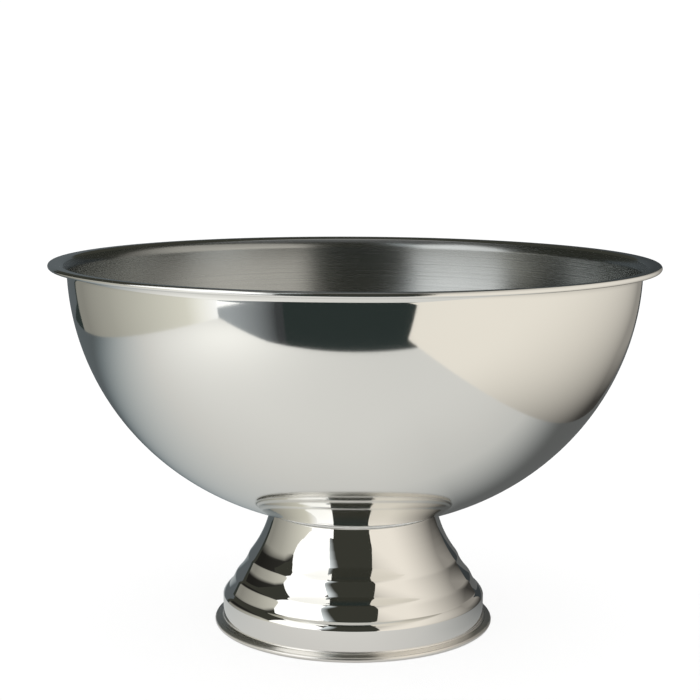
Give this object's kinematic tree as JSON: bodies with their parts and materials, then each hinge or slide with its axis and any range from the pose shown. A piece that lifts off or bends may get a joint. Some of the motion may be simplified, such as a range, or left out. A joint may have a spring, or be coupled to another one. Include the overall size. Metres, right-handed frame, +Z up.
{
  "type": "champagne bucket on foot",
  "caption": "Wide half-round steel bowl with a folded rim on a hollow stepped pedestal foot, held by a stud and wing nut, for ice and bottles.",
  "frame": {"origin": "centre of the foot's resting face, on the table", "axes": "+Z up along the bowl's axis of revolution; X and Y are level and alike, and the wing nut's wings lie along X at rest"},
  "size_m": [0.4, 0.4, 0.245],
  "materials": {
    "polished_steel": "polished outside with a faint haze, fine satin inside",
    "mirror_steel": "mirror polished",
    "silicone": "translucent white silicone",
    "plain_steel": "bright plain steel hardware"
  },
  "bodies": {
    "bucket": {"bowl_shell": "polished_steel", "foot_shell": "mirror_steel", "seat_ring": "silicone", "stud_plate": "plain_steel", "stud": "plain_steel"},
    "washers": {"clamp_washer": "plain_steel", "spring_washer": "plain_steel"},
    "wing_nut": {"wing_nut": "plain_steel"}
  },
  "joints": [
    {"name": "nut_travel", "type": "slide", "parent": "bucket", "child": "washers", "axis": [0, 0, -1], "range_m": [0, 0.01]},
    {"name": "nut_spin", "type": "hinge", "parent": "washers", "child": "wing_nut", "pos_m": [0, 0, 0.0525], "axis": [0, 0, -1], "range_deg": [0, 2880]}
  ],
  "couplings": [
    {"joint": "nut_travel", "follows": "nut_spin", "m_per_rad": 0.00019894}
  ]
}
